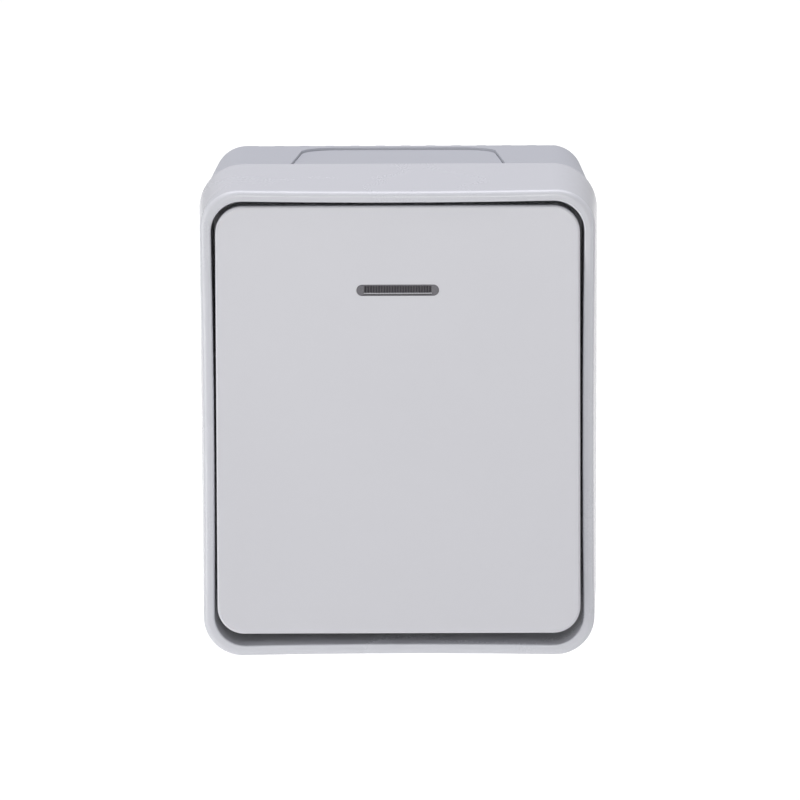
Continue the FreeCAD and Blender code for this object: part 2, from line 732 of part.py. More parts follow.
def make_cover_screws():
    seat = f"({WELL} + seal_ring)"
    return group("cover_screws", [
        screw("cover_screw", "cover_screw_head", "cover_screw_head_height", x, z, seat, "cover_screw_length")
        for x, z in COVER_SCREW_SPOTS
    ])


def make_cover_screw_seals():
    rings = []
    for x, z in COVER_SCREW_SPOTS:
        disc = rod("cover_screw + 2*seal_ring_width", x, (WELL, f"{WELL} + seal_ring"), z)
        hole = rod("cover_screw", x, (f"{WELL} - seal_ring", f"{WELL} + 2*seal_ring"), z)
        rings.append(cut(disc, hole))
    return group("cover_screw_seals", rings)


def make_aperture_seal():
    """A sleeve round the tower, squeezed between the mechanism's plate and the well floor."""
    body = new_body("aperture_seal")
    band = Outline(body, "XZ", PLATE_FRONT)
    for grow in ("sleeve_wall", "0"):
        band.rectangle(
            f"-{TOWER_WIDTH}/2 - {grow}", f"{TOWER_WIDTH}/2 + {grow}",
            f"-tower_height/2 - tower_wall - {grow}", f"tower_height/2 + tower_wall + {grow}")
    pad(band, f"{WELL_BACK} - {PLATE_FRONT}")
    return body


# Mechanism body and its cover

def make_mechanism_base():
    body = new_body("mechanism_base")
    pad(Outline(body, "XZ", "mechanism_seat").rectangle(
        "-mechanism_width/2", "mechanism_width/2", "-mechanism_height/2", "mechanism_height/2"),
        "mechanism_depth")
    pocket(Outline(body, "XZ", MECHANISM_FRONT).rectangle(
        "mechanism_wall - mechanism_width/2", "mechanism_width/2 - mechanism_wall",
        f"-{MECHANISM_INNER_HEIGHT}/2", f"{MECHANISM_INNER_HEIGHT}/2"), "mechanism_depth - mechanism_floor")
    ears = Outline(body, "XZ", "mechanism_seat")
    for inner, outer in (("mechanism_width/2", "mechanism_width/2 + ear_reach"),
                         ("-mechanism_width/2 - ear_reach", "-mechanism_width/2")):
        ears.rectangle(inner, outer, "-ear_width/2", "ear_width/2")
    pad(ears, "ear_thickness")
    # Ledges carry the brass strips, and two partitions make the contact chamber.
    floor = "(mechanism_seat + mechanism_floor)"
    ledges = Outline(body, "XZ", floor)
    ledges.rectangle("-partition_x", "partition_x", "fixed_strip_start", f"{MECHANISM_INNER_HEIGHT}/2")
    ledges.rectangle("-partition_x", "partition_x", f"-{MECHANISM_INNER_HEIGHT}/2", "common_strip_end")
    pad(ledges, f"{STRIP_BACK} - {floor}")
    walls = Outline(body, "XZ", floor)
    low, high = f"-{MECHANISM_INNER_HEIGHT}/2", f"{MECHANISM_INNER_HEIGHT}/2"
    walls.rectangle("partition_x", "partition_x + partition_wall", low, high)
    walls.rectangle("-partition_x - partition_wall", "-partition_x", low, high)
    pad(walls, "mechanism_depth - mechanism_floor - partition_drop - plate_lip")
    # A pedestal outside the left partition carries the common strip's side tab.
    tab_low, tab_high = "-common_tab_z - common_tab/2", "common_tab/2 - common_tab_z"
    outer_x = f"{COMMON_LEAD_X} - lead"
    pad(Outline(body, "XZ", floor).rectangle(outer_x, "-partition_x - partition_wall", tab_low, tab_high),
        f"{STRIP_BACK} - {floor}")
    pocket(Outline(body, "XZ", MECHANISM_FRONT).rectangle(
        "-partition_x - partition_wall", "-partition_x", f"{tab_low} - lead_gap", f"{tab_high} + lead_gap"),
        f"{MECHANISM_FRONT} - {STRIP_BACK}")
    # Wires come in through a window in each end wall.
    for low, high in ((f"{MECHANISM_INNER_HEIGHT}/2", "mechanism_height/2"),
                      ("-mechanism_height/2", f"-{MECHANISM_INNER_HEIGHT}/2")):
        pocket(Outline(body, "XZ", f"{STRIP_FRONT} + clamp_height").rectangle(
            "-clamp_width/2", "clamp_width/2", low, high), "clamp_height")
    holes = Outline(body, "XZ", "mechanism_seat + ear_thickness")
    for side in ("", "-"):
        holes.circle(f"{side}{EAR_X}", "0", "mechanism_screw + 2*post_gap")
    pocket(holes, "ear_thickness")
    return body


def make_mechanism_cover():
    """The plate that closes the mechanism, with the tower whose cheeks carry the dolly's trunnions."""
    body = new_body("mechanism_cover")
    pad(Outline(body, "XZ", MECHANISM_FRONT).rectangle(
        "-mechanism_width/2", "mechanism_width/2", "-mechanism_height/2", "mechanism_height/2"),
        "plate_thickness")
    pad(Outline(body, "XZ", MECHANISM_FRONT).rectangle(
        HOLDER_LEFT, HOLDER_RIGHT, HOLDER_LOW, HOLDER_HIGH), "plate_thickness")
    lip = Outline(body, "XZ", f"{MECHANISM_FRONT} - plate_lip")
    for inset in ("plate_gap", "(plate_gap + plate_lip_wall)"):
        lip.rectangle(
            f"mechanism_wall + {inset} - mechanism_width/2", f"mechanism_width/2 - mechanism_wall - {inset}",
            f"{inset} - {MECHANISM_INNER_HEIGHT}/2", f"{MECHANISM_INNER_HEIGHT}/2 - {inset}")
    pad(lip, "plate_lip")
    pad(Outline(body, "XZ", PLATE_FRONT).rectangle(
        f"-{TOWER_WIDTH}/2", f"{TOWER_WIDTH}/2",
        "-tower_height/2 - tower_wall", "tower_height/2 + tower_wall"),
        f"{PIVOT} + tower_top - {PLATE_FRONT}")
    pocket(Outline(body, "XZ", f"{PIVOT} + tower_top").rectangle(
        "-hub_width/2 - tower_gap", "hub_width/2 + tower_gap", "-tower_height/2", "tower_height/2"),
        f"{PIVOT} + tower_top - {MECHANISM_FRONT}")
    bearing = Outline(body, "YZ", f"{TOWER_WIDTH}/2").circle(f"-{PIVOT}", "0", "trunnion + 2*trunnion_gap")
    pocket(bearing, TOWER_WIDTH)
    # Windows over the terminal screws, and slits for the lamp's leads
    windows = Outline(body, "XZ", PLATE_FRONT)
    for side in ("", "-"):
        windows.rectangle("-terminal_screw_head/2", "terminal_screw_head/2",
                          f"{side}terminal_z - clamp_length/2", f"{side}terminal_z + clamp_length/2 - lead")
    pocket(windows, "plate_thickness")
    slits = Outline(body, "XZ", PLATE_FRONT)
    for x in ("live_lead_x", COMMON_LEAD_X):
        slits.rectangle(f"{x} - lead/2 - lead_gap", f"{x} + lead/2 + lead_gap",
                        f"{LEAD_Z} - lead/2 - lead_gap", f"{LEAD_Z} + lead/2 + lead_gap")
    pocket(slits, "plate_thickness + plate_lip")
    return body


def make_mechanism_screws():
    seat = "(mechanism_seat + ear_thickness)"
    return group("mechanism_screws", [
        screw("mechanism_screw", "mechanism_screw_head", "mechanism_screw_head_height",
              f"{side}{EAR_X}", "0", seat, "mechanism_screw_length")
        for side in ("", "-")
    ])


# Current-carrying pieces

def make_common_contact():
    """The strip from the lower terminal, with the round-topped ridge that the lever rocks on."""
    body = new_body("common_contact")
    flat = Outline(body, "XZ", STRIP_BACK)
    flat.rectangle("-strip_width/2", "strip_width/2", f"-{STRIP_END}", "common_strip_end")
    pad(flat, "strip_thickness")
    tab = Outline(body, "XZ", STRIP_BACK)
    tab.rectangle(
        f"{COMMON_LEAD_X} - lead", "-strip_width/2",
        "-common_tab_z - common_tab/2", "common_tab/2 - common_tab_z")
    pad(tab, "strip_thickness")
    ridge = Outline(body, "YZ", "-lever_width/2")
    ridge.rectangle(f"-{FULCRUM}", f"-{STRIP_FRONT}", "-fulcrum_round/2", "fulcrum_round/2")
    pad(ridge, "lever_width")
    pad(Outline(body, "YZ", "-lever_width/2").circle(f"-{FULCRUM}", "0", "fulcrum_round"), "lever_width")
    return body


def make_fixed_contact():
    body = new_body("fixed_contact")
    pad(Outline(body, "XZ", STRIP_BACK).rectangle(
        "-strip_width/2", "strip_width/2", "fixed_strip_start", STRIP_END), "strip_thickness")
    return body


def make_fixed_contact_tip():
    """It ends a hair short of where the closed lever's tip comes to rest."""
    closed = f"({FULCRUM} + {LEVER_RISE} - lever_thickness - tip_thickness)"
    rivet = rod("tip_width", "0", (STRIP_FRONT, f"{closed} - tip_gap"), CONTACT_Z)
    return labelled("fixed_contact_tip", rivet)


def make_contact_lever():
    """A strip bent to a shallow V, drawn about the fulcrum at mid travel and then tipped to rest."""
    body = new_body("contact_lever")
    top = "(lever_thickness + fulcrum_sink)"
    slope = "tan(lever_swing/2)"
    drop = "(lever_thickness/cos(lever_swing/2))"
    right = "((lever_reach + lever_end)*cos(lever_swing/2))"
    left = "(lever_tail*cos(lever_swing/2))"
    side = Outline(body, "YZ", "-lever_width/2")
    side.polygon([
        (f"-{top}", "0"), (f"-{top} - {right}*{slope}", right), (f"{drop} - {top} - {right}*{slope}", right),
        (f"{drop} - {top}", "0"), (f"{drop} - {top} - {left}*{slope}", f"-{left}"),
        (f"-{top} - {left}*{slope}", f"-{left}"),
    ])
    pad(side, "lever_width")
    groove = Outline(body, "YZ", "lever_width/2").circle("0", "0", "fulcrum_round + 2*fulcrum_gap")
    pocket(groove, "lever_width")
    return body


def make_moving_contact_tip():
    """A rivet on the lever's rear face, drawn square to the closed arm and then tipped with the lever."""
    back = f"({LEVER_RISE} - lever_thickness)"
    return group("moving_contact_tip", [rod("tip_width", "0", (f"{back} - tip_thickness", back), CONTACT_Z)])


def terminal_clamp(side):
    """A brass block on the strip, with a square wire way from the end and a threaded roof."""
    z = f"({side}terminal_z)"
    low = (f"{z} - clamp_length/2", f"{z} + clamp_length/2")
    solid = block(("-clamp_width/2", "clamp_width/2"), (STRIP_FRONT, f"{STRIP_FRONT} + clamp_height"), low)
    sill = f"({STRIP_FRONT} + clamp_sill)"
    way = block(("-clamp_opening_width/2", "clamp_opening_width/2"), (sill, f"{sill} + clamp_opening_height"),
                (f"{z} - clamp_length", f"{z} + clamp_length"))
    roof = f"({sill} + clamp_opening_height)"
    thread = rod("terminal_screw", "0", (roof, f"{STRIP_FRONT} + 2*clamp_height"), z)
    return cut(solid, fuse(way, thread))


def make_terminal_clamps():
    return group("terminal_clamps", [terminal_clamp(side) for side in ("", "-")])


def make_terminal_screws():
    head = f"({STRIP_FRONT} + clamp_height)"
    length = "clamp_height - clamp_sill - clamp_opening_height + terminal_screw_bite"
    return group("terminal_screws", [
        screw("terminal_screw", "terminal_screw_head", "terminal_screw_head_height",
              "0", f"({side}terminal_z)", head, length)
        for side in ("", "-")
    ])


# Indicator lamp behind the key's window

def make_light_guide():
    body = new_body("light_guide")
    low, high = f"{LENS_Z} - guide_height/2", f"{LENS_Z} + guide_height/2"
    pad(Outline(body, "XZ", f"{WELL_BACK} - guide_flange").rectangle(
        "-guide_width/2 - guide_flange", "guide_width/2 + guide_flange",
        f"{low} - guide_flange", f"{high} + guide_flange"),
        "guide_flange")
    pad(Outline(body, "XZ", WELL_BACK).rectangle("-guide_width/2", "guide_width/2", low, high),
        "well_floor + guide_reach")
    return body


def make_lamp_holder():
    body = new_body("lamp_holder")
    pad(Outline(body, "XZ", PLATE_FRONT).rectangle(HOLDER_LEFT, HOLDER_RIGHT, HOLDER_LOW, HOLDER_HIGH),
        "holder_thickness")
    cheeks = Outline(body, "XZ", HOLDER_FRONT)
    for near, far in (("lamp_length/2", CHEEK_OUT), (f"-{CHEEK_OUT}", "-lamp_length/2")):
        cheeks.rectangle(near, far, f"{LENS_Z} - lamp/2", f"{LENS_Z} + lamp/2")
    pad(cheeks, "holder_cheek_height")
    notch = Outline(body, "XZ", f"{HOLDER_FRONT} + holder_cheek_height")
    notch.rectangle(f"-2*{CHEEK_OUT}", f"2*{CHEEK_OUT}", f"{LENS_Z} - lead/2", f"{LENS_Z} + lead/2")
    pocket(notch, f"{HOLDER_FRONT} + holder_cheek_height - {LAMP_OUT} + lead/2")
    slits = Outline(body, "XZ", HOLDER_FRONT)
    for x in ("live_lead_x", COMMON_LEAD_X):
        slits.rectangle(f"{x} - lead/2", f"{x} + lead/2", f"{LEAD_Z} - lead/2", f"{LEAD_Z} + lead/2")
    pocket(slits, "holder_thickness")
    return body


def make_indicator_lamp():
    tube = cross_rod("lamp", ("-lamp_length/2", "lamp_length/2"), LAMP_OUT, LENS_Z)
    return labelled("indicator_lamp", tube)


def make_lamp_resistor():
    start = f"({CHEEK_OUT} + lead_run)"
    return labelled("lamp_resistor", cross_rod("resistor", (start, RESISTOR_END), LAMP_OUT, LENS_Z))


def bar(start, end):
    """A square lead between two places that differ along one direction only."""
    spans = []
    for a, b in zip(start, end):
        low, high = (a, b) if value(a) <= value(b) else (b, a)
        along = a != b
        spans.append((low, high) if along else (f"({low}) - lead/2", f"({high}) + lead/2"))
    return block(*spans)


def lead_along(places):
    """One bent lead through places given as X, out and Z, with square corners."""
    runs = [bar(a, b) for a, b in zip(places, places[1:])]
    half = "lead/2"
    elbows = [
        block(*[(f"({axis}) - {half}", f"({axis}) + {half}") for axis in place])
        for place in places[1:-1]
    ]
    return fuse(*runs, *elbows) if elbows else runs[0]


def make_lamp_leads():
    bend_x = f"({RESISTOR_END} + lead_run/2)"
    laid = f"({HOLDER_FRONT} + lead/2)"
    common = lead_along([
        ("-lamp_length/2", LAMP_OUT, LENS_Z), (COMMON_LEAD_X, LAMP_OUT, LENS_Z),
        (COMMON_LEAD_X, LAMP_OUT, LEAD_Z),
        (COMMON_LEAD_X, f"({STRIP_FRONT} + lead/2)", LEAD_Z),
        (COMMON_LEAD_X, f"({STRIP_FRONT} + lead/2)", "-common_tab_z"),
    ])
    bridge = lead_along([("lamp_length/2", LAMP_OUT, LENS_Z), (f"{CHEEK_OUT} + lead_run", LAMP_OUT, LENS_Z)])
    live = lead_along([
        (RESISTOR_END, LAMP_OUT, LENS_Z), (bend_x, LAMP_OUT, LENS_Z),
        (bend_x, LAMP_OUT, LEAD_Z), (bend_x, laid, LEAD_Z),
        ("live_lead_x", laid, LEAD_Z), ("live_lead_x", STRIP_FRONT, LEAD_Z),
    ])
    return group("lamp_leads", [common, bridge, live])


# Rocker pieces, drawn about the pivot with the key's face square to the view

def make_rocker_key():
    body = new_body("rocker_key")
    back = "(key_to_pivot - key_skirt)"
    inner_face = "(key_to_pivot - key_face)"
    pad(Outline(body, "XZ", back).rounded("key_width", "key_height", "key_corner"), "key_skirt")
    round_edges(body, "key_round", lambda box: at_out(box, value("key_to_pivot")))
    pocket(Outline(body, "XZ", inner_face).rounded(
        "key_width - 2*key_wall", "key_height - 2*key_wall", "key_corner - key_wall"), "key_skirt - key_face")
    # Two hooked rails grip the hood of the dolly.
    hook_back = f"({inner_face} - hood_deck - hood_skirt - hood_gap - clip_hook)"
    rail = "(hood_width/2 + hood_gap)"
    for side in (1, -1):
        hook = Outline(body, "XZ", hook_back)
        hook.rectangle(
            *in_order(side, f"({rail} - clip_hook)", f"({rail} + clip_wall)"),
            "-clip_length/2", "clip_length/2")
        pad(hook, "clip_hook")
        wall = Outline(body, "XZ", hook_back)
        wall.rectangle(*in_order(side, rail, f"({rail} + clip_wall)"), "-clip_length/2", "clip_length/2")
        pad(wall, f"{inner_face} - {hook_back}")
    pocket(Outline(body, "XZ", "key_to_pivot").stadium("0", LENS_Z, "lens_width", "lens_height"), "key_face")
    return body


def in_order(side, near, far):
    """Two places given outwards from the middle, as left and right on one side of it."""
    return (near, far) if side > 0 else (f"-{far}", f"-{near}")


def make_indicator_lens():
    body = new_body("indicator_lens")
    inner_face = "(key_to_pivot - key_face)"
    pad(Outline(body, "XZ", inner_face).stadium(
        "0", LENS_Z, "lens_width - 2*lens_gap", "lens_height - 2*lens_gap"), "key_face")
    pad(Outline(body, "XZ", f"{inner_face} - lens_flange_thickness").stadium(
        "0", LENS_Z, "lens_width + 2*lens_flange", "lens_height + 2*lens_flange"), "lens_flange_thickness")
    return body


def make_rocker_dolly():
    """Hood under the key, web, hub with trunnions, and the stem that holds the plunger."""
    body = new_body("rocker_dolly")
    deck_back = "(key_to_pivot - key_face - hood_deck)"
    pad(Outline(body, "XZ", deck_back).rectangle(
        "-hood_width/2", "hood_width/2", "-hood_height/2", "hood_height/2"), "hood_deck")
    skirt = Outline(body, "XZ", f"{deck_back} - hood_skirt")
    for inset in ("0", "hood_wall"):
        skirt.rectangle(f"{inset} - hood_width/2", f"hood_width/2 - {inset}",
                        f"{inset} - hood_height/2", f"hood_height/2 - {inset}")
    pad(skirt, "hood_skirt")
    web = Outline(body, "XZ", "0").rectangle("-hub_width/2", "hub_width/2", "-stem_web/2", "stem_web/2")
    pad(web, deck_back)
    pad(Outline(body, "YZ", "-hub_width/2").circle("0", "0", "hub_round"), "hub_width")
    pad(Outline(body, "YZ", f"-{TOWER_WIDTH}/2").circle("0", "0", "trunnion"), TOWER_WIDTH)
    pad(Outline(body, "XZ", "-stem_length").circle("0", "0", "stem"), "stem_length")
    bore = Outline(body, "XZ", "-spring_seat").circle("0", "0", "plunger + 2*plunger_gap")
    pocket(bore, "stem_length - spring_seat")
    return body


def make_contact_plunger():
    """Turned about the stem's axis, with a round nose that rides on the lever."""
    body = new_body("contact_plunger")
    profile = Outline(body, "YZ", "0")
    nose = "plunger_nose/2"
    rear = "(plunger_reach - plunger_length)"
    neck = "(plunger_reach - plunger_shoulder)"
    profile.polygon([
        (rear, "0"), (rear, "plunger/2"), (neck, "plunger/2"), (neck, nose),
        ("plunger_reach", nose), ("plunger_reach", "0"),
    ])
    turned = body.newObject("PartDesign::Revolution", "Turned")
    turned.Profile = profile.sketch
    turned.ReferenceAxis = (profile.sketch, ["H_Axis"])
    turned.Angle = 360
    round_edges(body, "plunger_nose_round", lambda box: at_out(box, -value("plunger_reach")))
    return body


def make_plunger_spring():
    """A round wire helix between the end of the bore and the plunger's rear face."""
    mean = "(spring_width - spring_wire)/2"
    rise = "(plunger_reach - plunger_length - spring_seat - spring_wire)"
    coil = doc.addObject("Part::Helix", "Coil")
    coil.setExpression("Radius", bound(mean))
    coil.setExpression("Height", bound(rise))
    coil.setExpression("Pitch", bound(f"{rise}/spring_turns"))
    section = doc.addObject("Part::Circle", "Wire")
    section.setExpression("Radius", bound("spring_wire/2"))
    section.Placement.Rotation = FreeCAD.Rotation(X_AXIS, 90)
    section.setExpression("Placement.Base.x", bound(mean))
    wire = doc.addObject("Part::Sweep", "Sweep")
    wire.Sections = [section]
    wire.Spine = (coil, ["Edge1"])
    wire.Solid = True
    wire.Frenet = True
    return labelled("plunger_spring", wire)


# Pieces that rest at a tilt

def turn_about_x(piece, angle, y, z):
    """Turns a piece about X by an expression in degrees and carries it to a place in the wall's frame."""
    piece.Placement.Rotation = FreeCAD.Rotation(X_AXIS, 1)
    piece.setExpression("Placement.Rotation.Angle", bound(angle))
    piece.setExpression("Placement.Base.y", bound(y))
    piece.setExpression("Placement.Base.z", bound(z))
    return piece


def rocker_at_rest(piece):
    """The key rests with its top pressed in, which turns the rocker back about the pivot."""
    return turn_about_x(piece, "-key_tilt", f"-{PIVOT}", "0")


def spring_at_rest(piece):
    """The helix rises along its own Z, so it is also laid down into the stem's bore."""
    along = "(spring_seat + spring_wire/2)"
    y, z = f"{along}*cos(key_tilt) - {PIVOT}", f"-{along}*sin(key_tilt)"
    return turn_about_x(piece, "-90 - key_tilt", y, z)


def lever_at_rest(piece, angle):
    return turn_about_x(piece, angle, f"-{FULCRUM}", "0")


# The whole switch

pieces = [
    make_base_box(), make_entry_insert(), make_front_cover(), make_cover_gasket(), make_cover_screws(),
    make_cover_screw_seals(), make_aperture_seal(), make_mechanism_base(), make_mechanism_cover(),
    make_mechanism_screws(), make_common_contact(), make_fixed_contact(), make_fixed_contact_tip(),
    make_terminal_clamps(), make_terminal_screws(), make_light_guide(), make_lamp_holder(),
    make_indicator_lamp(), make_lamp_resistor(), make_lamp_leads(),
    rocker_at_rest(make_rocker_key()), rocker_at_rest(make_indicator_lens()),
    rocker_at_rest(make_rocker_dolly()), rocker_at_rest(make_contact_plunger()),
    spring_at_rest(make_plunger_spring()), lever_at_rest(make_contact_lever(), "lever_swing/2"),
    lever_at_rest(make_moving_contact_tip(), "lever_swing"),
]
doc.recompute()

# Every feature has to have come out, and every cut has to have cut something.
for item in doc.Objects:
    if "Invalid" in item.State or "Error" in item.State:
        raise RuntimeError(f"{item.Label} ({item.TypeId}) failed: {item.State}")
    if item.TypeId in ("PartDesign::Pocket", "PartDesign::SubtractiveLoft"):
        if item.BaseFeature.Shape.Volume - item.Shape.Volume < 1e-3:
            raise RuntimeError(f"{item.Label} of {item.BaseFeature.Label} cuts nothing")

os.makedirs("parts", exist_ok=True)
for piece in pieces:
    shape = piece.Shape
    if shape.isNull() or not shape.isValid() or not shape.Solids:
        raise RuntimeError(f"{piece.Label} is not a valid solid")
    shape.exportStep(f"parts/{piece.Label}.step")
    print(piece.Label, len(shape.Solids), "solid(s),", round(shape.Volume, 1), "mm3")
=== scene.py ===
# %% [markdown]
# # An outdoor rocker switch, dressed for a studio picture
# The switch is a pale grey moulded box that is screwed to a wall. Its parts already exist at their real
# size and place in a fixed frame. This lesson gives each of them its finish, models the small window in
# the key, and sets up the light and the camera. Everything is in metres.

# %% Load the frame
import json
import math

import bmesh
import bpy
from mathutils import Matrix, Vector


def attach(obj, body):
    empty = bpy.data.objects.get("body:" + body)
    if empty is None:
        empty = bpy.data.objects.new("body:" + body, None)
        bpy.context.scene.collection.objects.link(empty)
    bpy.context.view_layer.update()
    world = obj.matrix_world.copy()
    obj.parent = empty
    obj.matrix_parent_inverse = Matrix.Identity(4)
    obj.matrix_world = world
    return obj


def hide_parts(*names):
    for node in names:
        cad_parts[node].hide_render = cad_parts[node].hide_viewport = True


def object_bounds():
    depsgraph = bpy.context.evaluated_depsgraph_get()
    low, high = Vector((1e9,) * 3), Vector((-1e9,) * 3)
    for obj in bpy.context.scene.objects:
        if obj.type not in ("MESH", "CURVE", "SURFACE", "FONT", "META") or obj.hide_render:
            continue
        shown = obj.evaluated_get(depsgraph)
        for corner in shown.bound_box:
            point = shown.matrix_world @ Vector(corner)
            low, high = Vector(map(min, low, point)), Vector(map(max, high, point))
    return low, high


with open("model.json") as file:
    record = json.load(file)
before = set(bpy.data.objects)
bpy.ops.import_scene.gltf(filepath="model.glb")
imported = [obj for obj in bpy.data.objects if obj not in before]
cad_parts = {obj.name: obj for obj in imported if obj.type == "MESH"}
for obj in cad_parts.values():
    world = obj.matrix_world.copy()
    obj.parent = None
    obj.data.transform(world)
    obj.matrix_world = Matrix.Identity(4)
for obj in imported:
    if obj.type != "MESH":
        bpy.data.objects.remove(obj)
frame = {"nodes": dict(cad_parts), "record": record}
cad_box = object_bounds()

MM = 0.001
MICRON = 0.000001
nodes = frame["nodes"]
subparts = frame["record"]["subparts"]
print("nodes", len(nodes), "box in mm", [[round(v / MM, 1) for v in corner] for corner in cad_box])


# %% [markdown]
# ## Writing materials as sums
# A finish is a small formula: a colour, a roughness and a fine relief that each vary a little over the
# piece. The nodes could be joined by hand, one link at a time, but that hides the formula. So a socket is
# wrapped in a class whose plus, minus and times add the Math nodes, and whose one method, node, adds any
# other kind.

# %% A socket that can be added and multiplied
class Wire:
    """One output socket of a node tree."""

    def __init__(self, tree, socket):
        self.tree = tree
        self.socket = socket

    @classmethod
    def node(cls, tree, kind, settings=None, values=(), output=0):
        """Adds any node. Settings come first, then the values or wires of its sockets, by number or name."""
        node = tree.nodes.new(kind)
        for name, setting in (settings or {}).items():
            setattr(node, name, setting)
        pairs = values.items() if isinstance(values, dict) else enumerate(values)
        for key, given in pairs:
            socket = node.inputs[key]
            if isinstance(given, Wire):
                tree.links.new(given.socket, socket)
            else:
                socket.default_value = given
        return cls(tree, node.outputs[output])

    def _math(self, operation, *values):
        return self.node(self.tree, "ShaderNodeMath", {"operation": operation}, values)

    def __add__(self, other):
        return self._math("ADD", self, other)

    def __radd__(self, other):
        return self._math("ADD", other, self)

    def __sub__(self, other):
        return self._math("SUBTRACT", self, other)

    def __rsub__(self, other):
        return self._math("SUBTRACT", other, self)

    def __mul__(self, other):
        return self._math("MULTIPLY", self, other)

    def __rmul__(self, other):
        return self._math("MULTIPLY", other, self)


print("a wire knows", [name.strip("_") for name in vars(Wire) if name in ("__add__", "__sub__", "__mul__")])


# %% [markdown]
# ## The words that every finish uses
# Every finish starts from the piece's own coordinates, so a pattern stays on the piece when the key tips.
# Noise gives the slow drift and the fine grain, a mix turns it into colour, and a bump turns it into
# relief. Colours are measured on a screen, so one helper turns screen values into linear light.

# %% Materials, noise and colours
def new_material(name):
    """An empty material with its tree and the piece's own coordinates."""
    material = bpy.data.materials.new(name)
    material.use_nodes = True
    tree = material.node_tree
    tree.nodes.clear()
    place = Wire.node(tree, "ShaderNodeTexCoord", output="Object")
    return material, tree, place


def close_material(tree, surface):
    """Joins the surface to the material's output."""
    output = tree.nodes.new("ShaderNodeOutputMaterial")
    tree.links.new(surface.socket, output.inputs["Surface"])


def noise(tree, place, scale, detail=3.0, roughness=0.5):
    """Cloudy noise from 0 to 1 at so many cells per metre."""
    return Wire.node(tree, "ShaderNodeTexNoise", {}, {
        "Vector": place, "Scale": scale, "Detail": detail, "Roughness": roughness})


def mix_colour(tree, share, first, second):
    """A colour that goes from the first to the second with the share."""
    return Wire.node(tree, "ShaderNodeMix", {"data_type": "RGBA"}, {0: share, 6: first, 7: second}, output=2)


def relief(tree, height, strength, distance):
    """A normal that follows a height, which is so many metres deep."""
    return Wire.node(tree, "ShaderNodeBump", {}, {
        "Strength": strength, "Distance": distance, "Height": height})


def linear(red, green, blue):
    """A colour given as 8-bit screen values, in linear light."""
    def one(channel):
        share = channel / 255
        return share / 12.92 if share <= 0.04045 else ((share + 0.055) / 1.055) ** 2.4
    return (one(red), one(green), one(blue), 1.0)


print("205 on the screen is", round(linear(205, 205, 205)[0], 3), "in linear light")


# %% [markdown]
# ## Moulded plastic
# The shells are thermoplastic with a spark-eroded mould finish: a very fine even grain, about a third of
# a millimetre across and a few micrometres deep, with a soft sheen. A painted texture would slide or blur
# close up, so the grain is a relief from noise. Seen from a step away it reads as a smooth satin surface,
# so it stays faint. A second, far slower noise keeps colour and roughness from being quite even, as the
# flow in the mould does.

# %% Satin plastic with a fine mould grain
GRAIN_CELLS = 3200.0
PORE_CELLS = 1920.0
FLOW_CELLS = 38.0
PORE_SHARE = 0.3
GRAIN_STRENGTH = 0.35
FLOW_SPREAD = 0.05
GRAIN_SPREAD = 0.008
SPREAD_MIDDLE = 0.03
PLASTIC_IOR = 1.5


def moulded_plastic(name, colour, shade, roughness, grain_depth):
    """A satin plastic that drifts between two near colours, with a fine mould grain."""
    material, tree, place = new_material(name)
    flow = noise(tree, place, FLOW_CELLS, detail=2.0)
    grain = noise(tree, place, GRAIN_CELLS, detail=2.0, roughness=0.6)
    pores = Wire.node(tree, "ShaderNodeTexVoronoi", {}, {"Vector": place, "Scale": PORE_CELLS})
    height = grain * (1 - PORE_SHARE) + pores * PORE_SHARE
    surface = Wire.node(tree, "ShaderNodeBsdfPrincipled", {}, {
        "Base Color": mix_colour(tree, flow, colour, shade),
        "Roughness": roughness - SPREAD_MIDDLE + flow * FLOW_SPREAD + grain * GRAIN_SPREAD,
        "IOR": PLASTIC_IOR,
        "Normal": relief(tree, height, GRAIN_STRENGTH, grain_depth),
    })
    close_material(tree, surface)
    return material


# Each plastic has its colour, the colour that it drifts to, its roughness and the depth of its grain.
PLASTICS = {
    "shell_plastic": (linear(207, 208, 213), linear(205, 206, 211), 0.27, 1.4 * MICRON),
    "base_plastic": (linear(184, 186, 192), linear(181, 183, 190), 0.44, 2.0 * MICRON),
    "key_plastic": (linear(207, 207, 212), linear(205, 205, 210), 0.32, 6.0 * MICRON),
    "mechanism_plastic": (linear(188, 190, 192), linear(180, 182, 185), 0.5, 20.0 * MICRON),
    "dolly_plastic": (linear(232, 231, 224), linear(228, 226, 219), 0.38, 10.0 * MICRON),
    "resistor_ceramic": (linear(196, 170, 130), linear(180, 152, 112), 0.35, 10.0 * MICRON),
}
finishes = {name: moulded_plastic(name, *given) for name, given in PLASTICS.items()}
print("plastics", list(finishes))


# %% [markdown]
# ## Rubber
# The gasket, the sleeve round the mechanism and the rings under the screws are matt black rubber. It
# could be one flat black, but real rubber is a little dusty, so the same noise lifts the colour and the
# roughness together.

# %% Matt rubber
RUBBER_CELLS = 1800.0
RUBBER_BLACK = (0.018, 0.018, 0.02, 1.0)
DUST_LIFT = 1.3


def soft_rubber(name, colour):
    """A dusty matt rubber."""
    material, tree, place = new_material(name)
    dust = noise(tree, place, RUBBER_CELLS)
    dusty = tuple(channel * DUST_LIFT for channel in colour[:3]) + (1.0,)
    surface = Wire.node(tree, "ShaderNodeBsdfPrincipled", {}, {
        "Base Color": mix_colour(tree, dust, colour, dusty),
        "Roughness": 0.72 + dust * 0.15,
        "Normal": relief(tree, dust, 0.3, 20.0 * MICRON),
    })
    close_material(tree, surface)
    return material


finishes["seal_rubber"] = soft_rubber("seal_rubber", RUBBER_BLACK)
print("rubber is", round(100 * RUBBER_BLACK[0], 1), "per cent bright")


